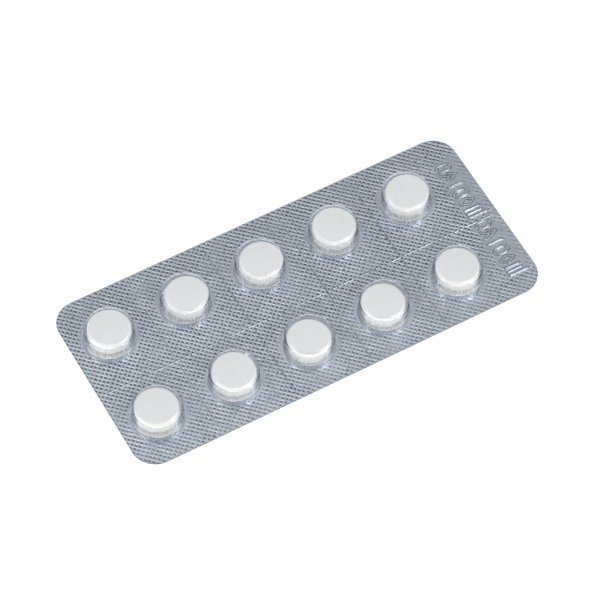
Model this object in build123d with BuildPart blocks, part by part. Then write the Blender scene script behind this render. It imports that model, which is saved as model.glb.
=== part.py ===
"""Pill blister pack: a clear formed web with ten pockets, a foil lid and ten loose tablets.

Millimetres. The pack lies flat with its foil on the XY plane and its pockets up. The origin is the
centre of the underside, +X runs to the stamped end and +Y to the back row of pockets.
"""

import os
from math import cos, radians, sin, sqrt

from build123d import *

os.makedirs("parts", exist_ok=True)

# Pocket grid and the margins round it, measured from the pocket centres to the edges
columns = 5
rows = 2
column_pitch = 17.3
row_pitch = 21.0
plain_end_margin = 8.5
stamped_end_margin = 15.3
front_margin = 10.4
back_margin = 11.1
corner_radius = 5.2

# Sheet thicknesses: the foil with its lacquer, the web as supplied, and the web drawn out in a pocket
foil_thickness = 0.04
film_thickness = 0.25
drawn_thickness = 0.18

# Tablet
tablet_diameter = 9.0
tablet_height = 3.0
tablet_bevel = 0.3

# Pocket: room round the loose tablet and over it, and the bevelled shoulder
side_clearance = 0.45
headroom = 0.78
shoulder_bevel = 0.47

# Cuts between the pockets, through web and foil, as rows of short slits
slit_length = 2.7
slit_bridge = 0.95
slit_width = 0.12
edge_bridge = 0.6
cross_cut_shift = 0.6
long_cut_shift = -1.2

# How each loose tablet lies: share of the side clearance it has moved, and towards which angle
tablet_rests = [
    (0.95, 65),
    (0.95, -3),
    (0.95, 3),
    (0.95, 39),
    (0.95, 26),
    (0.95, 102),
    (0.72, 76),
    (0.66, -154),
    (0.60, 153),
    (0.78, 66),
]

# Burr of pressed powder left on the top edge of one tablet
burr_tablet = 7
burr_angle = 27
burr_width = 0.7
burr_depth = 0.5
burr_proud = 0.12
burr_rise = 0.08
burr_side_angle = 75
burr_taper = -10

# Sizes that follow from the ones above
pack_length = plain_end_margin + (columns - 1) * column_pitch + stamped_end_margin
pack_width = front_margin + (rows - 1) * row_pitch + back_margin
tablet_radius = tablet_diameter / 2
film_bottom = foil_thickness
film_top = film_bottom + film_thickness
tablet_top = foil_thickness + tablet_height
roof_inside = tablet_top + headroom
roof_outside = roof_inside + drawn_thickness
pocket_radius = tablet_radius + side_clearance
dome_radius = pocket_radius + drawn_thickness
ceiling_bevel = shoulder_bevel - (2 - sqrt(2)) * drawn_thickness
slit_pitch = slit_length + slit_bridge

column_x = [plain_end_margin - pack_length / 2 + i * column_pitch for i in range(columns)]
row_y = [pack_width / 2 - back_margin - i * row_pitch for i in range(rows)]
pocket_centres = [(x, y) for y in row_y for x in column_x]


def slit_count(cut_length):
    """Whole slits that fit along a cut, with a bridge left at both edges of the pack."""
    return int((cut_length - 2 * edge_bridge - slit_length) / slit_pitch) + 1


# Outline shared by the web and the foil, which are punched out together
with BuildSketch() as card:
    RectangleRounded(pack_length, pack_width, corner_radius)

# Slits of the cuts: one row of slits between two columns, one between two rows
with BuildSketch() as slits:
    for left, right in zip(column_x, column_x[1:]):
        with Locations(((left + right) / 2 + cross_cut_shift, 0)):
            with GridLocations(slit_pitch, slit_pitch, 1, slit_count(pack_width)):
                Rectangle(slit_width, slit_length)
    for back, front in zip(row_y, row_y[1:]):
        with Locations((0, (back + front) / 2 + long_cut_shift)):
            with GridLocations(slit_pitch, slit_pitch, slit_count(pack_length), 1):
                Rectangle(slit_length, slit_width)

# Outside of one pocket, from the underside of the web, with its shoulder bevelled
with BuildPart() as pocket_outside:
    with BuildSketch(Plane.XZ):
        with Locations((dome_radius / 2, (film_bottom + roof_outside) / 2)):
            Rectangle(dome_radius, roof_outside - film_bottom)
        chamfer(vertices().sort_by_distance((dome_radius, roof_outside))[0], shoulder_bevel)
    revolve(axis=Axis.Z)

# Hollow of one pocket, bevelled under the shoulder so that the skin there keeps its thickness
with BuildPart() as pocket_hollow:
    with BuildSketch(Plane.XZ):
        with Locations((pocket_radius / 2, roof_inside / 2)):
            Rectangle(pocket_radius, roof_inside)
        chamfer(vertices().sort_by_distance((pocket_radius, roof_inside))[0], ceiling_bevel)
    revolve(axis=Axis.Z)

# Clear web: flat card, pockets drawn up from it, and the slits
with BuildPart() as blister_film:
    with BuildSketch(Plane.XY.offset(film_bottom)):
        add(card.sketch)
    extrude(amount=film_thickness)
    with Locations(*pocket_centres):
        add(pocket_outside.part)
    with Locations(*pocket_centres):
        add(pocket_hollow.part, mode=Mode.SUBTRACT)
    with BuildSketch(Plane.XY.offset(film_bottom)):
        add(slits.sketch)
    extrude(amount=film_thickness, mode=Mode.SUBTRACT)
blister_film.part.label = "blister_film"
export_step(blister_film.part, "parts/blister_film.step")

# Foil lid, flush with the web and slit with it
with BuildPart() as lidding_foil:
    with BuildSketch():
        add(card.sketch)
        add(slits.sketch, mode=Mode.SUBTRACT)
    extrude(amount=foil_thickness)
lidding_foil.part.label = "lidding_foil"
export_step(lidding_foil.part, "parts/lidding_foil.step")

# Tablets: flat faces with a bevel, each lying on the foil where it has slid to in its pocket
for number, (x, y) in enumerate(pocket_centres, start=1):
    share, angle = tablet_rests[(number - 1) % len(tablet_rests)]
    centre_x = x + share * side_clearance * cos(radians(angle))
    centre_y = y + share * side_clearance * sin(radians(angle))
    with BuildPart() as tablet:
        with BuildSketch(Plane.XY.offset(foil_thickness)):
            with Locations((centre_x, centre_y)):
                Circle(tablet_radius)
        extrude(amount=tablet_height)
        chamfer(tablet.edges().filter_by(GeomType.CIRCLE), tablet_bevel)
        if number == burr_tablet:
            towards = radians(burr_angle)
            burr_reach = tablet_radius + burr_proud - burr_depth / 2
            burr_plane = Plane(
                origin=(
                    centre_x + burr_reach * cos(towards),
                    centre_y + burr_reach * sin(towards),
                    tablet_top + burr_rise,
                ),
                x_dir=(-sin(towards), cos(towards), 0),
                z_dir=(0, 0, -1),
            )
            with BuildSketch(burr_plane):
                Trapezoid(burr_width, burr_depth, burr_side_angle)
            extrude(amount=tablet_bevel + burr_rise, taper=burr_taper)
    tablet.part.label = f"tablet_{number}"
    export_step(tablet.part, f"parts/tablet_{number}.step")
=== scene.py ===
"""Looks of a pill blister pack: clear formed web, knurled foil lid and ten pressed tablets.

Shapes are worked out in millimetres in the pack's own frame and turned into metres when a mesh is
made. The foil lies on the floor, the pockets stand up, and the stamped end is towards +X.
"""

import math

import bpy
import numpy as np
from mathutils import Matrix, Vector
from mathutils.geometry import delaunay_2d_cdt


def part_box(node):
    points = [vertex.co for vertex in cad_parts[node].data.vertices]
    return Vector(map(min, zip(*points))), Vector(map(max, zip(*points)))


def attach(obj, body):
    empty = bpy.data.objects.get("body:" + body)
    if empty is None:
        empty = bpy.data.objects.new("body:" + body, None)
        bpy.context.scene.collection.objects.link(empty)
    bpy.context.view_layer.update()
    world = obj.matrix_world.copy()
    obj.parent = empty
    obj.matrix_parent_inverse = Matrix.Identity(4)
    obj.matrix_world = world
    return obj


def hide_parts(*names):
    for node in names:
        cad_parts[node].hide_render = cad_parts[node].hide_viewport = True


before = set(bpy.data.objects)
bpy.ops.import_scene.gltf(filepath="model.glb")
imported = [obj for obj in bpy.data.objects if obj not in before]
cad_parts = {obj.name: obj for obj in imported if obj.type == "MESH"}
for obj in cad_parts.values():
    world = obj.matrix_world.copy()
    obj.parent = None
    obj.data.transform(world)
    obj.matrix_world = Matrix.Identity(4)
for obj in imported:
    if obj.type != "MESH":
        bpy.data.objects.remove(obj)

MM = 0.001
SEED = 27
rng = np.random.default_rng(SEED)

# Card and pocket grid, as the solids have them
corner_radius = 5.2
columns = 5
rows = 2
column_pitch = 17.3
row_pitch = 21.0
plain_end_margin = 8.5
back_margin = 11.1

# Slits of the cuts between pockets
slit_length = 2.7
slit_bridge = 0.95
slit_width = 0.12
edge_bridge = 0.6
slit_line_width = 0.12
slit_edge_least = 0.1
cross_cut_shift = 0.6
long_cut_shift = -1.2

# Levels of the sheets above the floor
foil_sheet = 0.03
foil_low = 0.038
foil_land = 0.085
web_bottom = 0.09
web_top = 0.32
roof_inside = 3.82
roof_outside = 4.0

# Pocket walls: radii of the drafted wall at its foot and head, and the roundings
wall_foot_radius = 5.24
wall_head_radius = 5.12
wall_head = 3.2
wall_skin = 0.17
brow_radius = 1.8
brow_angle = 20
shoulder_radius = 0.55
foot_fillet = 0.25
foot_inside_fillet = 0.42
roof_crown = 0.05
crown_rings = (0.985, 0.8, 0.55, 0.3)
pip_radius = 0.42
pip_depth = 0.045
pip_inside_share = 0.8
pip_slope = (0.6, 0.8)
draw_streak = 0.007
foot_streak_share = 0.6
shoulder_streak_share = 0.02
wall_reach = 0.029
wall_haze_least = 0.25
pocket_segments = 108
seal_start = 4.85
seal_reach = 0.85
seal_rings = (4.9, 5.1, 5.3, 5.5, 5.75)
seal_segments = 72

# Knurl of the sealed area: a square lattice of pits that runs diagonally
knurl_pitch = 0.888
knurl_angle = math.radians(45)
pit_radius = 0.28
foil_pit_depth = 0.045
web_pit_depth = 0.01
pit_rings = [(0.12, 4), (0.25, 5)]
knurl_free_radius = 6.05
knurl_fade = 0.3
knurl_faintest = 0.02
knurl_unevenness = 0.18
# Towards the front the knurl is pressed less deep, and its painted pit shade and ridge highlights are
# fainter there
knurl_front_fade = 0.25
stamp_smoothing = 0.9
foil_ripple = 0.006

# Stamped band near the +X end
stamp_x = 42.2
stamp_height = 3.2
stamp_width = 1.7
stamp_advance = 2.42
stamp_groups = (13.5, -2.8)
stamp_stroke = 0.27
stamp_rise = 0.1
stroke_slope = (stamp_stroke, 0.25 * stamp_stroke)
# Painted shade along the foot of the stamped marks, and how far it reaches on each side
foot_shade_strength = 0.85
foot_shade_inner = (0.6 * stamp_stroke, 0.85 * stamp_stroke)
foot_shade_outer = (1.5 * stamp_stroke, 1.1 * stamp_stroke)
stamp_sample = 0.08
stamp_web_sample = 0.1
stamp_low_sample = 0.24
stamp_marks = ("oval", "chevrons", "bar", "oval", "diamond", "pair")
oval_points = 25
pair_spread = 0.6
end_bar_gap = 0.42
end_bar_reach = 0.9
stamp_left = stamp_x - stamp_height / 2 - 3 * stamp_stroke
stamp_right = stamp_x + stamp_height / 2 + 4.5 * stamp_stroke
stamp_front = stamp_groups[-1] - stamp_advance * len(stamp_marks)
stamp_back = stamp_groups[0] + stamp_advance
grid_clearance = 0.7

# Smooth patch that the stamp pressed round each group of marks
patch_ragged = 0.45
patch_margin = 0.3
patch_sides = (0.9, -0.3)
patch_inner_edge = (-2.7, -1.9)
patch_outer_edge = (4.2, 2.4)
patch_least = 0.45

# Tablets, and the one that has a burr of powder on its top edge
tablet_radius = 4.5
tablet_height = 3.0
tablet_bevel = 0.3
tablet_softening = 0.05
tablet_segments = 112
tablet_wobble = 0.006
tablet_wobble_reach = 1
tablet_grain = 0.003
burr_tablet = 7
burr_angle = 27
burr_ragged = 0.16
burr_half_width = 0.4
burr_half_depth = 0.22
burr_half_height = 0.2
burr_sink = 0.02
burr_droop = 0.1

# Steps along arcs and outlines, room left beside them, and how near two points are to be one
edge_step = 0.35
bend_steps = 6
brow_steps = 5
edge_margin = 0.07
touch = 1e-3
loop_digits = 3
weld_grain = 1e-4
cut_grain = 1e-6

# Angles past which an edge stays sharp
flange_sharp = 40.0
tablet_sharp = 70.0

# Floor, in metres, and how much light of its own it shows
floor_half = 4.0
floor_level = -0.00001
floor_glow = 0.22

# Camera, solved from the outline of the pack in the photograph
camera_azimuth = math.radians(-29.43)
camera_elevation = math.radians(57.05)
camera_roll = math.radians(0.409)
camera_distance = 694.6
camera_target = (0.08, -0.59, 0.0)
camera_lens = 204.44
camera_sensor = 36.0
to_camera = (math.sin(camera_azimuth), -math.cos(camera_azimuth), 0)
to_right = (math.cos(camera_azimuth), math.sin(camera_azimuth), 0)

# Studio light round the pack. The sky is graded by height, the front light by how far a direction
# points to the camera, and the wings in front and the dark flags behind by how far it points
# sideways. The wings give way to the flags where a direction points about as far back as forward.
sky_levels = [
    (0.3, 1.45),
    (0.45, 1.1),
    (0.6, 0.8),
    (0.73, 1.0),
    (0.785, 0.66),
    (0.82, 0.62),
    (0.85, 0.88),
    (0.885, 1.05),
    (0.91, 0.9),
    (0.95, 0.34),
]
sky_stops = [(0.0, (1.6, 1.6, 1.6))]
sky_stops += [(place, (level, level, 1.01 * level)) for place, level in sky_levels]
sky_stops += [(1.0, (0.1, 0.105, 0.12))]
front_levels = [(0.0, 1), (0.25, 0.96), (0.6, 0.78), (0.75, 0.5), (0.9, 0.5)]
front_levels += [(0.95, 3.6), (1.0, 5.2)]
front_stops = [(place, (level, level, level)) for place, level in front_levels]
wing_levels = [(0.28, 1), (0.42, 1.5), (0.58, 1.6), (0.8, 2.6)]
wing_stops = [(place, (level, level, level)) for place, level in wing_levels]
flag_stops = [(0.34, (1, 1, 1)), (0.5, (0.125, 0.18, 0.3))]
front_to_back = 0.12

# Distance of the four lamps, in metres
lamp_distance = 3.0

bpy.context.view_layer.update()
card_low, card_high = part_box("blister_film")
half_length = (card_high.x - card_low.x) / 2 / MM
half_width = (card_high.y - card_low.y) / 2 / MM
column_x = [plain_end_margin - half_length + i * column_pitch for i in range(columns)]
row_y = [half_width - back_margin - i * row_pitch for i in range(rows)]
pocket_centres = [(x, y) for y in row_y for x in column_x]


def smoothstep(start, end, value):
    """0 before start, 1 after end, and a smooth rise in between."""
    share = np.clip((value - start) / (end - start), 0, 1)
    return share * share * (3 - 2 * share)


def ripples(count, shortest, longest):
    """A gentle random surface in about -1 to 1, as a sum of waves of seeded directions and phases."""
    lengths = rng.uniform(shortest, longest, count)
    headings = rng.uniform(0, 2 * math.pi, count)
    phases = rng.uniform(0, 2 * math.pi, count)

    def surface(points):
        total = np.zeros(len(points))
        for length, heading, phase in zip(lengths, headings, phases):
            along = points[:, 0] * math.cos(heading) + points[:, 1] * math.sin(heading)
            total += np.sin(2 * math.pi * along / length + phase)
        return total / math.sqrt(count)

    return surface


def slit_boxes():
    """Centre and half sizes of every slit: a row between two columns, and one between two rows."""
    boxes = []

    def row(centre, along_x, length):
        pitch = slit_length + slit_bridge
        count = int((length - 2 * edge_bridge - slit_length) / pitch) + 1
        for i in range(count):
            shift = (i - (count - 1) / 2) * pitch
            if along_x:
                boxes.append((centre[0] + shift, centre[1], slit_length / 2, slit_width / 2))
            else:
                boxes.append((centre[0], centre[1] + shift, slit_width / 2, slit_length / 2))

    for left, right in zip(column_x, column_x[1:]):
        row(((left + right) / 2 + cross_cut_shift, 0), False, 2 * half_width)
    for back, front in zip(row_y, row_y[1:]):
        row((0, (back + front) / 2 + long_cut_shift), True, 2 * half_length)
    return boxes


def outline_loop():
    """The card's rounded outline, anticlockwise from above."""
    points = []
    straight_x = half_length - corner_radius
    straight_y = half_width - corner_radius
    corners = [(straight_x, straight_y), (-straight_x, straight_y)]
    corners += [(-straight_x, -straight_y), (straight_x, -straight_y)]
    quarter = round(corner_radius * math.pi / 2 / edge_step)
    for turn, corner in enumerate(corners):
        for i in range(quarter + 1):
            angle = math.pi / 2 * (turn + i / quarter)
            points.append(corner + corner_radius * np.array((math.cos(angle), math.sin(angle))))
        heading = np.array((math.cos(angle + math.pi / 2), math.sin(angle + math.pi / 2)))
        length = 2 * (straight_y if turn % 2 else straight_x)
        steps = round(length / edge_step)
        start = points[-1]
        points += [start + heading * length * i / steps for i in range(1, steps)]
    return np.round(points, loop_digits)


def slit_loop(box):
    """The outline of one slit, clockwise from above."""
    x, y, half_x, half_y = box
    corners = [(-half_x, -half_y), (-half_x, half_y), (half_x, half_y), (half_x, -half_y)]
    points = []
    for (x0, y0), (x1, y1) in zip(corners, corners[1:] + corners[:1]):
        steps = max(1, round(math.hypot(x1 - x0, y1 - y0) / edge_step))
        for i in range(steps):
            points.append((x + x0 + (x1 - x0) * i / steps, y + y0 + (y1 - y0) * i / steps))
    return np.round(points, loop_digits)


def circle(centre, radius, count=pocket_segments):
    """Points of a circle, anticlockwise from above."""
    angles = np.arange(count) * 2 * math.pi / count
    points = np.stack([centre[0] + radius * np.cos(angles), centre[1] + radius * np.sin(angles)], 1)
    return np.round(points, loop_digits)


slits = slit_boxes()
outline = outline_loop()
slit_loops = [slit_loop(box) for box in slits]


def pocket_distance(points):
    """Distance of each point from the nearest pocket's centre."""
    nearest = np.full(len(points), np.inf)
    for centre in pocket_centres:
        nearest = np.minimum(nearest, np.hypot(*(points - centre).T))
    return nearest


def on_sheet(points, margin, pocket_radius=0.0):
    """True for points that lie inside the card and outside slits and pockets by a margin."""
    x, y = np.abs(points[:, 0]), np.abs(points[:, 1])
    over_x = np.maximum(x - (half_length - corner_radius), 0)
    over_y = np.maximum(y - (half_width - corner_radius), 0)
    keep = np.hypot(over_x, over_y) < corner_radius - margin
    for centre_x, centre_y, half_x, half_y in slits:
        past_x = np.abs(points[:, 0] - centre_x) - half_x
        past_y = np.abs(points[:, 1] - centre_y) - half_y
        keep &= (past_x > margin) | (past_y > margin)
    if pocket_radius:
        keep &= pocket_distance(points) > pocket_radius + margin
    return keep


def mark_strokes(kind):
    """Strokes of one generic raised mark, as polylines about its own centre."""
    tall, wide = stamp_height / 2, stamp_width / 2
    if kind == "oval":
        angles = np.linspace(0, 2 * math.pi, oval_points)
        return [np.stack([tall * np.cos(angles), wide * np.sin(angles)], 1)]
    if kind == "bar":
        return [np.array([(-tall, 0), (tall, 0)])]
    if kind == "diamond":
        return [np.array([(-tall, 0), (0, wide), (tall, 0), (0, -wide), (-tall, 0)])]
    if kind == "pair":
        spread = pair_spread * wide
        return [np.array([(-tall, across), (tall, across)]) for across in (-spread, spread)]
    peak = tall / 2
    return [np.array([(x - peak, -wide), (x + peak, 0), (x - peak, wide)]) for x in (-peak, peak)]


def stamped_strokes():
    """Every stroke of the two groups of marks, and the long bar that ends each group."""
    strokes = []
    low, high = stamp_x - stamp_height / 2, stamp_x + stamp_height / 2
    for start in stamp_groups:
        for place, kind in enumerate(stamp_marks):
            centre = (stamp_x, start - place * stamp_advance)
            strokes += [stroke + centre for stroke in mark_strokes(kind)]
        last = start - (len(stamp_marks) - end_bar_gap) * stamp_advance
        strokes.append(np.array([(low, last), (high + end_bar_reach, last)]))
    return strokes


strokes = stamped_strokes()


def stroke_distance(points):
    """Distance of each point from the nearest stroke's middle line, for the points near the marks."""
    near = np.abs(points[:, 0] - stamp_x) < stamp_height / 2 + 5 * stamp_stroke
    place = points[near]
    nearest = np.full(len(place), np.inf)
    for stroke in strokes:
        for start, end in zip(stroke, stroke[1:]):
            along = end - start
            share = np.clip(((place - start) @ along) / (along @ along), 0, 1)
            nearest = np.minimum(nearest, np.hypot(*(place - start - share[:, None] * along).T))
    return near, nearest


def stamp_relief(points):
    """Height of the raised marks at each point."""
    near, nearest = stroke_distance(points)
    height = np.zeros(len(points))
    height[near] = stamp_rise * smoothstep(*stroke_slope, nearest)
    return height


def stamp_foot_shade(points):
    """1 along the foot of the raised marks, where a dark line of painted shade lies."""
    near, nearest = stroke_distance(points)
    edge = np.zeros(len(points))
    edge[near] = smoothstep(*foot_shade_inner, nearest) * smoothstep(*foot_shade_outer, nearest)
    return edge


patch_edge = ripples(7, shortest=1.2, longest=5)
depth_wander = ripples(9, shortest=4, longest=15)
foil_wander = ripples(12, shortest=3, longest=14)
wall_haze = rng.uniform(wall_haze_least, 1.0, (columns * rows, pocket_segments))
slit_shares = rng.uniform(slit_edge_least, 1.0, len(slits))


def stamp_patch(points):
    """1 in the smooth patch that the stamp pressed round its marks, 0 in the knurl."""
    ragged = patch_ragged * patch_edge(points)
    patch = np.zeros(len(points))
    for start in stamp_groups:
        middle = start - stamp_advance * (len(stamp_marks) - 1) / 2
        half = stamp_advance * len(stamp_marks) / 2 + patch_margin
        along = smoothstep(*patch_sides, np.abs(points[:, 1] - middle) - half + ragged)
        before = smoothstep(*patch_inner_edge, points[:, 0] - stamp_x - ragged)
        after = smoothstep(*patch_outer_edge, points[:, 0] - stamp_x + 2 * ragged)
        patch = np.maximum(patch, along * before * (patch_least + (1 - patch_least) * after))
    return patch


def knurl_mask(points):
    """How deep the knurl is pressed at each point, from 0 to about 1."""
    ring = smoothstep(0, knurl_fade, pocket_distance(points) - knurl_free_radius)
    front = smoothstep(0, -half_width, points[:, 1])
    depth = 1 + knurl_unevenness * depth_wander(points) - knurl_front_fade * front
    return ring * (1 - stamp_smoothing * stamp_patch(points)) * depth


def pits(points):
    """The knurl's own relief: 1 at the middle of each pit and 0 on the land between them."""
    cos, sin = math.cos(knurl_angle), math.sin(knurl_angle)
    u = (points[:, 0] * cos - points[:, 1] * sin) / knurl_pitch
    v = (points[:, 0] * sin + points[:, 1] * cos) / knurl_pitch
    away = np.hypot(u - np.round(u), v - np.round(v)) * knurl_pitch
    return 1 - smoothstep(0, pit_radius, away)


def sealed(points):
    """1 where the foil is sealed to the web, 0 under the pockets."""
    return smoothstep(0, seal_reach, pocket_distance(points) - seal_start)


def drawn(points):
    """How hazy the drawn wall of a pocket is at each point, with fine streaks round it."""
    haze = np.zeros(len(points))
    for number, centre in enumerate(pocket_centres):
        across, along = (points - centre).T
        away = np.hypot(across, along)
        place = (np.arctan2(along, across) / (2 * math.pi) % 1) * pocket_segments
        streak = wall_haze[number, np.round(place).astype(int) % pocket_segments]
        for radius in (wall_foot_radius, (wall_foot_radius + wall_head_radius) / 2):
            for skin_depth in (0, wall_skin):
                haze += streak * (np.abs(away - radius + skin_depth) < wall_reach)
    return haze


def on_slit(points, slit):
    """True for points inside a slit or on its edge."""
    centre_x, centre_y, half_x, half_y = slit
    in_x = np.abs(points[:, 0] - centre_x) < half_x + touch
    in_y = np.abs(points[:, 1] - centre_y) < half_y + touch
    return in_x & in_y


def slit_edges(points, lengthwise):
    """Above 0 on the edges of the slits that run one way, and more on some slits than on others."""
    edge = np.zeros(len(points))
    for slit, share in zip(slits, slit_shares):
        _, _, half_x, half_y = slit
        if (half_x > half_y) == lengthwise:
            edge[on_slit(points, slit)] = share
    return edge


def painted_slit_highlights(points):
    """Painted highlights along the edges of the slits between the two rows of pockets."""
    return slit_edges(points, True)


def painted_dark_lines(points):
    """Painted shade on the edges of the slits between the columns of pockets, and round the foot of the
    marks.
    """
    return np.maximum(slit_edges(points, False), foot_shade_strength * stamp_foot_shade(points))


def beside_slits():
    """Points round every slit, where its painted highlight or its painted shade ends."""
    points = []
    for centre_x, centre_y, half_x, half_y in slits:
        reach_x, reach_y = half_x + slit_line_width, half_y + slit_line_width
        steps = np.linspace(-1, 1, round(slit_length / edge_step) + 2)
        for side in (-1, 1):
            if half_x > half_y:
                x, y = centre_x + reach_x * steps, np.full(len(steps), centre_y + side * reach_y)
            else:
                x, y = np.full(len(steps), centre_x + side * reach_x), centre_y + reach_y * steps
            points.append(np.stack([x, y], 1))
    return np.concatenate(points)


def foil_height(points):
    """Level of the foil's upper face."""
    seal = sealed(points)
    relief = foil_low + (foil_land - foil_low) * seal
    relief -= foil_pit_depth * knurl_mask(points) * pits(points)
    relief += foil_ripple * seal * foil_wander(points)
    return np.maximum(relief, foil_low) + stamp_relief(points)


def foil_underside(points):
    """Level of the foil's lower face."""
    return foil_height(points) - foil_sheet


def web_height(points):
    """Level of the web's upper face on the flange."""
    return web_top - web_pit_depth * knurl_mask(points) * pits(points) + stamp_relief(points)


def web_underside(points):
    """Level of the web's lower face on the flange."""
    return web_bottom + stamp_relief(points)


def lattice(rings):
    """Points that follow the knurl: each cell has its pit's centre, rings round it, and the land."""
    cell = [(0.0, 0.0), (0.5, 0.5), (0.5, 0.0), (0.0, 0.5)]
    for radius, count in rings:
        for i in range(count):
            angle = 2 * math.pi * (i + 0.5) / count
            cell.append((radius * math.cos(angle) / knurl_pitch, radius * math.sin(angle) / knurl_pitch))
    reach = math.ceil((half_length + half_width) / knurl_pitch / math.sqrt(2)) + 2
    steps = np.arange(-reach, reach + 1)
    u, v = np.meshgrid(steps, steps)
    cos, sin = math.cos(knurl_angle), math.sin(knurl_angle)
    points = []
    for du, dv in cell:
        along = (u + du).ravel() * knurl_pitch
        across = (v + dv).ravel() * knurl_pitch
        points.append(np.stack([along * cos + across * sin, across * cos - along * sin], 1))
    points = np.concatenate(points)
    return points[knurl_mask(points) > knurl_faintest]


def stamp_grid(step):
    """A fine grid over the stamped band."""
    across = np.arange(stamp_left, stamp_right, step)
    along = np.arange(stamp_front, stamp_back, step)
    x, y = np.meshgrid(across, along)
    return np.stack([x.ravel(), y.ravel()], 1)


def outside_stamp(points, step):
    """The points that aren't covered by the fine grid over the stamped band."""
    x, y = points[:, 0], points[:, 1]
    clear = grid_clearance * step
    in_x = (x > stamp_left - clear) & (x < stamp_right + clear)
    in_y = (y > stamp_front - step) & (y < stamp_back + step)
    return points[~(in_x & in_y)]


def hole_numbers(points, pocket_radius):
    """Number of the slit or pocket that holds each point or has it on its edge, or -1."""
    numbers = np.full(len(points), -1)
    for number, slit in enumerate(slits):
        numbers[on_slit(points, slit)] = number
    if pocket_radius:
        for number, centre in enumerate(pocket_centres, start=len(slits)):
            numbers[np.hypot(*(points - centre).T) < pocket_radius + touch] = number
    return numbers


def skin(points, height, upwards=True, pocket_radius=0.0):
    """One face of a sheet, as corners and triangles, with its slits and pockets left open."""
    loops = [outline] + slit_loops
    if pocket_radius:
        loops += [circle(centre, pocket_radius) for centre in pocket_centres]
    flat = [Vector(p) for p in points[on_sheet(points, edge_margin, pocket_radius)]]
    edges = []
    for loop in loops:
        start = len(flat)
        flat += [Vector(p) for p in loop]
        edges += [(start + i, start + (i + 1) % len(loop)) for i in range(len(loop))]
    inside_outline = 1
    found = delaunay_2d_cdt(flat, edges, [], inside_outline, cut_grain, False)
    corners, faces = np.round([tuple(v) for v in found[0]], loop_digits + 2), np.array(found[2])
    first, second, third = hole_numbers(corners, pocket_radius)[faces].T
    faces = faces[~((first >= 0) & (first == second) & (second == third))]
    return np.column_stack([corners, height(corners)]), faces if upwards else faces[:, ::-1]


def edge_wall(loop, low, high):
    """The wall between the two faces of a sheet along a loop that keeps the sheet on its left."""
    count = len(loop)
    corners = np.concatenate([np.column_stack([loop, low(loop)]), np.column_stack([loop, high(loop)])])
    here = np.arange(count)
    after = (here + 1) % count
    quads = np.stack([here, after, after + count, here + count], 1)
    return corners, np.concatenate([quads[:, [0, 1, 2]], quads[:, [0, 2, 3]]])


def turned(centre, profile, streaks, outwards=True):
    """A surface of revolution from its outer rim to its middle, with vertical streaks in its radius."""
    count = pocket_segments
    angles = np.arange(count) * 2 * math.pi / count
    rings = []
    for radius, level, share in profile[:-1]:
        wave = radius + share * streaks
        across, along = centre[0] + wave * np.cos(angles), centre[1] + wave * np.sin(angles)
        if not rings:
            across, along = circle(centre, radius).T
        rings.append(np.stack([across, along, np.full(count, level)], 1))
    corners = np.concatenate(rings + [np.array([(centre[0], centre[1], profile[-1][1])])])
    here = np.arange(count)
    after = (here + 1) % count
    faces = []
    for i in range(len(rings) - 1):
        low, high = i * count, (i + 1) * count
        faces.append(np.stack([low + here, low + after, high + after], 1))
        faces.append(np.stack([low + here, high + after, high + here], 1))
    last = (len(rings) - 1) * count
    faces.append(np.stack([last + here, last + after, np.full(count, len(corners) - 1)], 1))
    faces = np.concatenate(faces)
    return corners, faces if outwards else faces[:, ::-1]


def arc(centre, radius, start, end, steps, share=0.0):
    """Profile points along an arc, by angles in degrees."""
    points = []
    for i in range(steps + 1):
        angle = math.radians(start + (end - start) * i / steps)
        across, up = radius * math.cos(angle), radius * math.sin(angle)
        points.append((centre[0] + across, centre[1] + up, share))
    return points


def make_piece(name, parts, material, sharp=flange_sharp, fields=(), cut_parts=()):
    """One mesh from several parts, welded where their corners meet, smooth but for its sharp edges."""
    offset = 0
    corners, faces, cut = [], [], []
    for number, (part_corners, part_faces) in enumerate(parts):
        corners.append(part_corners)
        faces.append(part_faces + offset)
        cut.append(np.full(len(part_faces), float(number in cut_parts)))
        offset += len(part_corners)
    corners, faces, cut = np.concatenate(corners), np.concatenate(faces), np.concatenate(cut)
    places = np.round(corners / weld_grain).astype(np.int64)
    _, first, welded = np.unique(places, axis=0, return_index=True, return_inverse=True)
    faces = welded.ravel()[faces]
    a, b, c = faces.T
    whole = (a != b) & (b != c) & (c != a)
    faces, cut = faces[whole], cut[whole]
    mesh = bpy.data.meshes.new(name)
    mesh.from_pydata((corners[first] * MM).tolist(), [], faces.tolist())
    mesh.validate()
    mesh.shade_smooth()
    mesh.set_sharp_from_angle(angle=math.radians(sharp))
    for field_name, field in fields:
        values = mesh.attributes.new(field_name, "FLOAT", "POINT")
        values.data.foreach_set("value", np.clip(field(corners[first][:, :2]), 0, 1).astype(np.float32))
    if len(cut_parts):
        sawn = mesh.attributes.new("cut", "FLOAT", "FACE")
        sawn.data.foreach_set("value", cut.astype(np.float32))
    mesh.materials.append(material)
    piece = bpy.data.objects.new(name, mesh)
    bpy.context.scene.collection.objects.link(piece)
    return piece


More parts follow.
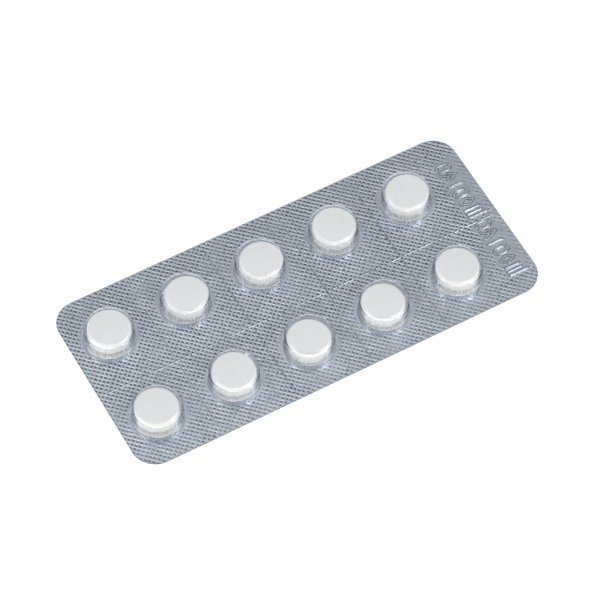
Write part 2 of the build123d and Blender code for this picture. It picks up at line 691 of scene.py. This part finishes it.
class Nodes:
    """A short way to build the node tree of a material or of the world."""

    def __init__(self, owner, output="ShaderNodeOutputMaterial"):
        owner.use_nodes = True
        self.tree = owner.node_tree
        self.tree.nodes.clear()
        self.output = self.add(output)

    def add(self, kind, settings=None, **inputs):
        """A node, with its inputs given by name or, as _0 and so on, by number."""
        node = self.tree.nodes.new(kind)
        for name, value in (settings or {}).items():
            setattr(node, name, value)
        for name, value in inputs.items():
            socket = node.inputs[int(name[1:]) if name[0] == "_" else name.replace("_", " ")]
            if isinstance(value, bpy.types.NodeSocket):
                self.tree.links.new(value, socket)
            else:
                socket.default_value = value
        return node

    def calc(self, operation, first, second, clamp=False):
        """A sum, product or other number made from two."""
        settings = {"operation": operation, "use_clamp": clamp}
        return self.add("ShaderNodeMath", settings, _0=first, _1=second).outputs[0]

    def vector(self, operation, *operands, output="Vector"):
        """The same for vectors and colours."""
        inputs = {f"_{number}": value for number, value in enumerate(operands)}
        node = self.add("ShaderNodeVectorMath", {"operation": operation}, **inputs)
        return node.outputs[output]

    def noise(self, place, scale, detail):
        """Values of a cloudy pattern, from its scale per metre."""
        node = self.add("ShaderNodeTexNoise", Vector=place, Scale=scale, Detail=detail)
        return node.outputs["Fac"]

    def field(self, name):
        """Values that the mesh carries under a name."""
        return self.add("ShaderNodeAttribute", {"attribute_name": name}).outputs["Fac"]

    def mix(self, share, first, second):
        """A colour between two, by the share of the second."""
        node = self.add("ShaderNodeMix", {"data_type": "RGBA"}, _0=share, _6=first, _7=second)
        return node.outputs[2]

    def ramp(self, value, stops):
        """Colours by a value, from stops of (value, colour) in rising order."""
        node = self.add("ShaderNodeValToRGB", Fac=value)
        elements = node.color_ramp.elements
        for i, (position, colour) in enumerate((stops[0], stops[-1])):
            elements[i].position = position
            elements[i].color = (*colour, 1)
        for position, colour in stops[1:-1]:
            elements.new(position).color = (*colour, 1)
        return node.outputs["Color"]

    def join(self, **ends):
        """Joins the last sockets to the output, such as Surface=socket."""
        for name, end in ends.items():
            self.tree.links.new(end, self.output.inputs[name])


def knurl_waves(n, cells, direction):
    """Waves across the knurl's lattice, one to a cell."""
    settings = {"wave_type": "BANDS", "bands_direction": direction, "wave_profile": "SIN"}
    node = n.add("ShaderNodeTexWave", settings, Vector=cells, Scale=math.pi / 10, Distortion=0.0)
    return node.outputs["Fac"]


def foil_material():
    """Hard aluminium foil: painted shade in its pits, which lie in rows, painted highlights on the
    ridges between the rows, and rolling lines.
    """
    material = bpy.data.materials.new("foil_metal")
    n = Nodes(material)
    place = n.add("ShaderNodeTexCoord").outputs["Object"]
    stretched = n.add("ShaderNodeMapping", _0=place, Scale=(150, 3000, 3000)).outputs[0]
    rolling = n.noise(stretched, 1.0, 3.0)
    cloudy = n.noise(place, 300.0, 4.0)
    fine = n.noise(place, 2600.0, 2.0)
    to_cells = {"Rotation": (0, 0, knurl_angle), "Scale": [1 / (knurl_pitch * MM)] * 3}
    cells = n.add("ShaderNodeMapping", _0=place, **to_cells).outputs[0]

    # Painted shade: a dark dot in each cell of the knurl, longer than wide and a little out of line,
    # that darkens the pit
    jitter = n.add("ShaderNodeTexNoise", Vector=place, Scale=800.0, Detail=1.0).outputs["Color"]
    jitter = n.add("ShaderNodeVectorMath", {"operation": "SCALE"}, _0=jitter, Scale=0.5).outputs[0]
    dot_cells = n.vector("ADD", n.vector("ADD", cells, jitter), (0.2, 0.07, 0))
    from_middle = n.vector("SUBTRACT", n.vector("FRACTION", dot_cells), (0.5, 0.5, 0))
    away = n.vector("LENGTH", n.vector("MULTIPLY", from_middle, (0.95, 1.32, 0)), output="Value")
    painted_pit_shade = n.add(
        "ShaderNodeMapRange",
        {"interpolation_type": "SMOOTHSTEP"},
        Value=away,
        From_Min=0.26,
        From_Max=0.37,
        To_Min=1.0,
        To_Max=0.0,
    ).outputs[0]
    mask = n.field("pressed")
    painted_pit_shade = n.calc("MULTIPLY", painted_pit_shade, mask)

    # Painted highlights: bright ridges between the rows of dots, broken into glinting dashes
    row_waves = knurl_waves(n, cells, "Y")
    dash_waves = knurl_waves(n, n.vector("ADD", cells, (0.39, 0, 0)), "X")
    painted_ridge_highlight = n.add("ShaderNodeMapRange", Value=row_waves, From_Min=0.5, To_Max=2.0).outputs[0]
    dash = n.add("ShaderNodeMapRange", Value=dash_waves, From_Min=0.3, To_Min=0.32).outputs[0]
    glint_range = {"From_Min": 0.35, "From_Max": 0.68, "To_Min": 0.2, "To_Max": 0.9}
    glint = n.add("ShaderNodeMapRange", Value=fine, **glint_range).outputs[0]
    painted_ridge_highlight = n.calc("MULTIPLY", n.calc("MULTIPLY", painted_ridge_highlight, glint), dash, clamp=True)
    painted_ridge_highlight = n.calc("MULTIPLY", painted_ridge_highlight, mask)

    # Painted highlights along the slits between the rows, painted shade along the slits between the
    # columns, and painted shade round the foot of the stamped marks
    slit_highlight = n.calc("MULTIPLY", n.field("slit_highlight"), 1.35, clamp=True)
    painted_ridge_highlight = n.calc("MAXIMUM", painted_ridge_highlight, slit_highlight)
    painted_pit_shade = n.calc("MULTIPLY", painted_pit_shade, n.calc("SUBTRACT", 1.0, slit_highlight, clamp=True))
    painted_pit_shade = n.calc("MAXIMUM", painted_pit_shade, n.field("painted_shade_lines"))

    # The foil's own tone, then painted highlights on the ridges and painted shade in the pits
    sheet = n.ramp(cloudy, [(0.3, (0.415, 0.46, 0.485)), (0.72, (0.52, 0.575, 0.605))])
    colour = n.mix(n.field("sealed"), (0.76, 0.765, 0.77, 1), sheet)
    colour = n.mix(painted_ridge_highlight, colour, (0.96, 0.99, 1.0, 1))
    colour = n.mix(painted_pit_shade, colour, (0.0, 0.02, 0.06, 1))
    gloss = n.add("ShaderNodeMapRange", Value=rolling, To_Min=0.11, To_Max=0.16).outputs[0]
    lines = n.add("ShaderNodeBump", Strength=0.2, Distance=0.00001, Height=rolling).outputs[0]
    grain = n.add("ShaderNodeBump", Strength=0.3, Distance=0.00001, Height=fine, Normal=lines).outputs[0]
    surface = {"Base_Color": colour, "Metallic": 1.0, "Roughness": gloss, "Normal": grain}
    metal = n.add("ShaderNodeBsdfPrincipled", **surface)
    n.join(Surface=metal.outputs[0])
    return material


def web_material():
    """Clear rigid film with a blue cast where it is seen edge on, and a faint haze."""
    material = bpy.data.materials.new("clear_film")
    n = Nodes(material)
    place = n.add("ShaderNodeTexCoord").outputs["Object"]
    haze = n.noise(place, 220.0, 3.0)
    clear = n.add("ShaderNodeMapRange", Value=haze, To_Min=0.015, To_Max=0.06).outputs[0]
    clear = n.calc("ADD", clear, n.calc("MULTIPLY", n.field("drawn"), 0.3))
    sawn = n.field("cut")
    gloss = n.add("ShaderNodeMapRange", Value=sawn, To_Min=clear, To_Max=0.7).outputs[0]
    waves = n.noise(place, 500.0, 2.0)
    skin_waves = n.add("ShaderNodeBump", Strength=0.05, Distance=0.00002, Height=waves).outputs[0]
    # Cut walls are frosted, and painted dark blue as the shade seen down the cuts
    glass = n.add(
        "ShaderNodeBsdfPrincipled",
        Base_Color=n.mix(sawn, (1.0, 1.0, 1.0, 1), (0.3, 0.38, 0.52, 1)),
        Roughness=gloss,
        IOR=1.53,
        Transmission_Weight=1.0,
        Normal=skin_waves,
    ).outputs[0]
    path = n.add("ShaderNodeLightPath").outputs
    open_way = n.add("ShaderNodeBsdfTransparent", Color=(0.985, 0.985, 0.985, 1)).outputs[0]
    bounced = n.add("ShaderNodeMixShader", _0=path["Is Diffuse Ray"], _1=glass, _2=open_way).outputs[0]
    lit = n.add("ShaderNodeMixShader", _0=path["Is Shadow Ray"], _1=bounced, _2=open_way).outputs[0]
    cast = n.add("ShaderNodeVolumeAbsorption", Color=(0.3, 0.5, 0.8, 1), Density=400.0).outputs[0]
    n.join(Surface=lit, Volume=cast)
    return material


def tablet_material():
    """Pressed white powder: matt, with faint specks and pores."""
    material = bpy.data.materials.new("pressed_powder")
    n = Nodes(material)
    place = n.add("ShaderNodeTexCoord").outputs["Object"]
    specks = n.noise(place, 1500.0, 3.0)
    soft = n.noise(place, 260.0, 2.0)
    tint = n.ramp(specks, [(0.28, (0.73, 0.715, 0.645)), (0.42, (0.80, 0.785, 0.715))])
    cream = n.mix(n.field("cut"), tint, (0.77, 0.74, 0.63, 1))
    patchy = n.add("ShaderNodeMapRange", Value=soft, To_Min=0.98, To_Max=1.015).outputs[0]
    shade = n.add("ShaderNodeVectorMath", {"operation": "SCALE"}, _0=cream, Scale=patchy).outputs[0]
    pores = n.add("ShaderNodeBump", Strength=0.4, Distance=0.00003, Height=specks).outputs[0]
    powder = n.add("ShaderNodeBsdfPrincipled", Base_Color=shade, Roughness=0.75, Normal=pores)
    n.join(Surface=powder.outputs[0])
    return material


def make_foil(material):
    """The foil lid, with its knurl, stamped marks and slits."""
    fine = outside_stamp(lattice(pit_rings), stamp_sample)
    coarse = outside_stamp(lattice([]), stamp_low_sample)
    rings = np.concatenate([circle(c, r, seal_segments) for c in pocket_centres for r in seal_rings])
    top_points = np.concatenate([fine, stamp_grid(stamp_sample), rings, beside_slits()])
    low_points = np.concatenate([coarse, stamp_grid(stamp_low_sample), rings])
    parts = [skin(top_points, foil_height), skin(low_points, foil_underside, upwards=False)]
    parts += [edge_wall(loop, foil_underside, foil_height) for loop in [outline] + slit_loops]
    fields = [("pressed", knurl_mask), ("sealed", sealed), ("slit_highlight", painted_slit_highlights), ("painted_shade_lines", painted_dark_lines)]
    return make_piece("knurled_foil", parts, material, fields=fields)


def shoulder(wall_radius, roof, skin_depth):
    """Profile of a shoulder: a tight bend at the wall that eases into the roof, by its outer sizes."""
    bend, brow = shoulder_radius - skin_depth, brow_radius - skin_depth
    turn = math.radians(brow_angle)
    bend_centre = (wall_radius - bend, roof - brow + (brow - bend) * math.cos(turn))
    brow_centre = (bend_centre[0] - (brow - bend) * math.sin(turn), roof - brow)
    profile = arc(bend_centre, bend, 0, 90 - brow_angle, bend_steps, shoulder_streak_share)
    profile += arc(brow_centre, brow, 90 - brow_angle, 90, brow_steps)[1:]
    rim = profile[-1][0]
    return profile + [(rim * part, roof + roof_crown * (1 - part * part), 0) for part in crown_rings]


def pocket_outside():
    """Profile of a pocket's outer face, from the flange to the middle of the roof."""
    fillet_centre = (wall_foot_radius + foot_fillet, web_top + foot_fillet)
    profile = arc(fillet_centre, foot_fillet, 270, 180, bend_steps)
    profile[-1] = profile[-1][:2] + (foot_streak_share,)
    profile += [((wall_foot_radius + wall_head_radius) / 2, (web_top + wall_head) / 2, 1.0)]
    profile += shoulder(wall_head_radius, roof_outside - roof_crown, 0.0)
    slope_radius, slope_depth = pip_radius * pip_slope[0], pip_depth * pip_slope[1]
    profile += [(pip_radius, roof_outside, 0), (slope_radius, roof_outside - slope_depth, 0)]
    return profile + [(0, roof_outside - pip_depth, 0)]


def pocket_inside():
    """Profile of a pocket's inner face, from the flange's lower face to the middle of the ceiling."""
    foot = wall_foot_radius - wall_skin
    head = wall_head_radius - wall_skin
    fillet_centre = (foot + foot_inside_fillet, web_bottom + foot_inside_fillet)
    profile = arc(fillet_centre, foot_inside_fillet, 270, 180, bend_steps)
    profile += [((foot + head) / 2, (web_bottom + wall_head) / 2, 1.0)]
    profile += shoulder(head, roof_inside - roof_crown, wall_skin)
    rim = pip_radius * pip_inside_share
    return profile + [(rim, roof_inside, 0), (0, roof_inside - pip_depth, 0)]


def make_web(material):
    """The clear web: knurled flange with slits, and ten formed pockets."""
    outside, inside = pocket_outside(), pocket_inside()
    foot, hollow = outside[0][0], inside[0][0]
    knurl = outside_stamp(lattice([]), stamp_web_sample)
    rings = np.concatenate([circle(c, seal_rings[-1], seal_segments) for c in pocket_centres])
    top_points = np.concatenate([knurl, stamp_grid(stamp_web_sample), rings])
    low_points = stamp_grid(stamp_low_sample)
    parts = [skin(top_points, web_height, True, foot), skin(low_points, web_underside, False, hollow)]
    parts += [edge_wall(loop, web_underside, web_height) for loop in [outline] + slit_loops]
    outer_edge = 2
    cuts = [outer_edge]
    cuts += [outer_edge + 1 + i for i, (_, _, half_x, half_y) in enumerate(slits) if half_x < half_y]
    for centre in pocket_centres:
        streaks = rng.normal(0, draw_streak, pocket_segments)
        parts.append(turned(centre, outside, streaks))
        parts.append(turned(centre, inside, rng.normal(0, draw_streak, pocket_segments), outwards=False))
    return make_piece("formed_web", parts, material, fields=[("drawn", drawn)], cut_parts=cuts)


def burr(centre, reach, top):
    """A ragged flake of powder on the tablet's top edge."""
    towards = math.radians(burr_angle)
    out = np.array((math.cos(towards), math.sin(towards)))
    along = np.array((-out[1], out[0]))
    around, levels = 14, 7
    corners = []
    for j in range(levels + 1):
        tilt = math.pi * (j / levels - 0.5)
        for i in range(around):
            turn = 2 * math.pi * i / around
            ragged = 1 + burr_ragged * rng.normal() * math.cos(tilt)
            side = burr_half_width * math.cos(tilt) * math.cos(turn) * ragged
            depth = burr_half_depth * math.cos(tilt) * math.sin(turn) * ragged
            place = np.array(centre) + out * (reach + depth) + along * side
            level = top - burr_sink + burr_half_height * math.sin(tilt) - burr_droop * abs(side)
            corners.append((place[0], place[1], level))
    faces = []
    for j in range(levels):
        for i in range(around):
            a, b = j * around + i, j * around + (i + 1) % around
            faces += [(a, b, b + around), (a, b + around, a + around)]
    return np.array(corners), np.array(faces)


def make_tablet(number, material):
    """One tablet: flat faces, rounded bevels and an upright side, where its solid lies."""
    low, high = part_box(f"tablet_{number}")
    reach, bevel, soft = tablet_radius, tablet_bevel, tablet_softening
    ease = soft * 0.6
    if number == burr_tablet:
        across = 2 * reach * MM
        high = Vector((low.x + across, low.y + across, low.z + tablet_height * MM))
    centre = ((low.x + high.x) / 2 / MM, (low.y + high.y) / 2 / MM)
    bottom, top = low.z / MM, high.z / MM
    profile = [
        (0.0, bottom),
        (reach - bevel - soft, bottom),
        (reach - bevel + ease, bottom + ease),
        (reach - ease, bottom + bevel - ease),
        (reach, bottom + bevel + soft),
        (reach, (bottom + top) / 2),
        (reach, top - bevel - soft),
        (reach - ease, top - bevel + ease),
        (reach - bevel + ease, top - ease),
        (reach - bevel - soft, top),
        (reach - bevel - 2 * soft, top),
        (reach * 0.5, top),
        (0.0, top),
    ]
    count = tablet_segments
    angles = np.arange(count) * 2 * math.pi / count
    wobble = tablet_wobble * np.sin(3 * angles + rng.uniform(0, 6)) + rng.normal(0, tablet_grain, count)
    corners = [(centre[0], centre[1], bottom)]
    for radius, level in profile[1:-1]:
        ring = radius + wobble * (radius > reach - tablet_wobble_reach)
        x, y = centre[0] + ring * np.cos(angles), centre[1] + ring * np.sin(angles)
        corners += list(zip(x, y, np.full(count, level)))
    corners.append((centre[0], centre[1], top))
    faces = []
    for k in range(count):
        after = (k + 1) % count
        faces.append((0, 1 + after, 1 + k))
        for i in range(len(profile) - 3):
            a, b = 1 + i * count, 1 + (i + 1) * count
            faces += [(a + k, a + after, b + after), (a + k, b + after, b + k)]
        last = 1 + (len(profile) - 3) * count
        faces.append((last + k, last + after, len(corners) - 1))
    parts = [(np.array(corners), np.array(faces))]
    flakes = ()
    if number == burr_tablet:
        flakes = (len(parts),)
        parts.append(burr(centre, reach, top))
    return make_piece(f"pressed_tablet_{number}", parts, material, tablet_sharp, cut_parts=flakes)


def add_camera():
    """The camera at the photograph's angle."""
    flat = math.cos(camera_elevation)
    back = Vector((to_camera[0] * flat, to_camera[1] * flat, math.sin(camera_elevation)))
    data = bpy.data.cameras.new("camera")
    data.lens = camera_lens
    data.sensor_width = camera_sensor
    data.clip_start = 0.01
    data.clip_end = 50
    camera = bpy.data.objects.new("camera", data)
    bpy.context.scene.collection.objects.link(camera)
    place = (Vector(camera_target) + back * camera_distance) * MM
    turn = (-back).to_track_quat("-Z", "Y").to_matrix() @ Matrix.Rotation(camera_roll, 3, "Z")
    camera.matrix_world = Matrix.Translation(place) @ turn.to_4x4()
    bpy.context.scene.camera = camera


def add_softbox(name, towards, size, power):
    """A round lamp in a direction given as (towards the camera, right, up)."""
    near, right, up = Vector(to_camera), Vector(to_right), Vector((0, 0, 1))
    heading = (towards[0] * near + towards[1] * right + towards[2] * up).normalized()
    data = bpy.data.lights.new(name, "AREA")
    data.shape = "DISK"
    data.size = size
    data.energy = power
    lamp = bpy.data.objects.new(name, data)
    bpy.context.scene.collection.objects.link(lamp)
    aim = heading.to_track_quat("Z", "Y").to_matrix()
    lamp.matrix_world = Matrix.Translation(heading * lamp_distance) @ aim.to_4x4()
    lamp.visible_camera = False


def add_world():
    """Graded studio light, and plain white for what the camera sees directly."""
    world = bpy.data.worlds.new("studio")
    bpy.context.scene.world = world
    n = Nodes(world, "ShaderNodeOutputWorld")
    place = n.add("ShaderNodeTexCoord").outputs["Generated"]
    sky = n.ramp(n.add("ShaderNodeSeparateXYZ", _0=place).outputs["Z"], sky_stops)
    front = n.vector("DOT_PRODUCT", place, to_camera, output="Value")
    side = n.vector("DOT_PRODUCT", place, to_right, output="Value")
    away = n.add("ShaderNodeMath", {"operation": "ABSOLUTE"}, _0=side).outputs[0]
    behind = n.add("ShaderNodeMapRange", Value=front, From_Min=front_to_back, From_Max=-front_to_back)
    screen = n.mix(behind.outputs[0], n.ramp(away, wing_stops), n.ramp(away, flag_stops))
    shaded = n.vector("MULTIPLY", sky, screen)
    light = n.add("ShaderNodeBackground", Color=shaded, Strength=n.ramp(front, front_stops)).outputs[0]
    white = n.add("ShaderNodeBackground", Color=(1, 1, 1, 1)).outputs[0]
    seen = n.add("ShaderNodeLightPath").outputs["Is Camera Ray"]
    n.join(Surface=n.add("ShaderNodeMixShader", _0=seen, _1=light, _2=white).outputs[0])


def add_floor():
    """A pale floor that is white where nothing shades it and keeps the object's shadow."""
    material = bpy.data.materials.new("floor_white")
    n = Nodes(material)
    path = n.add("ShaderNodeLightPath").outputs
    seen = n.calc("MAXIMUM", path["Is Camera Ray"], path["Is Glossy Ray"])
    seen = n.calc("MAXIMUM", seen, path["Is Transmission Ray"])
    lift = n.calc("MULTIPLY", seen, floor_glow)
    paint = n.add("ShaderNodeBsdfDiffuse", Color=(0.88, 0.88, 0.88, 1)).outputs[0]
    glow = n.add("ShaderNodeEmission", Color=(1, 1, 1, 1), Strength=lift).outputs[0]
    n.join(Surface=n.add("ShaderNodeAddShader", _0=paint, _1=glow).outputs[0])
    half, level = floor_half, floor_level
    mesh = bpy.data.meshes.new("floor")
    corners = [(-half, -half, level), (half, -half, level), (half, half, level), (-half, half, level)]
    mesh.from_pydata(corners, [], [(0, 1, 2, 3)])
    mesh.materials.append(material)
    floor = bpy.data.objects.new("floor", mesh)
    bpy.context.scene.collection.objects.link(floor)


bpy.context.scene.view_settings.view_transform = "Standard"
add_camera()
add_world()
add_floor()
add_softbox("softbox_left", (-0.30, -0.21, 0.93), 0.64, 0.8)
add_softbox("softbox_right", (-0.28, 0.19, 0.94), 0.64, 4.6)
add_softbox("side_left", (0.05, -0.5, 0.86), 1.0, 5.5)
add_softbox("side_right", (0.05, 0.5, 0.86), 1.0, 6.0)

foil = make_foil(foil_material())
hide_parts("lidding_foil")
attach(foil, "root")

web = make_web(web_material())
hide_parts("blister_film")
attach(web, "root")

powder = tablet_material()
for number in range(1, columns * rows + 1):
    tablet = make_tablet(number, powder)
    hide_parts(f"tablet_{number}")
    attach(tablet, "root")
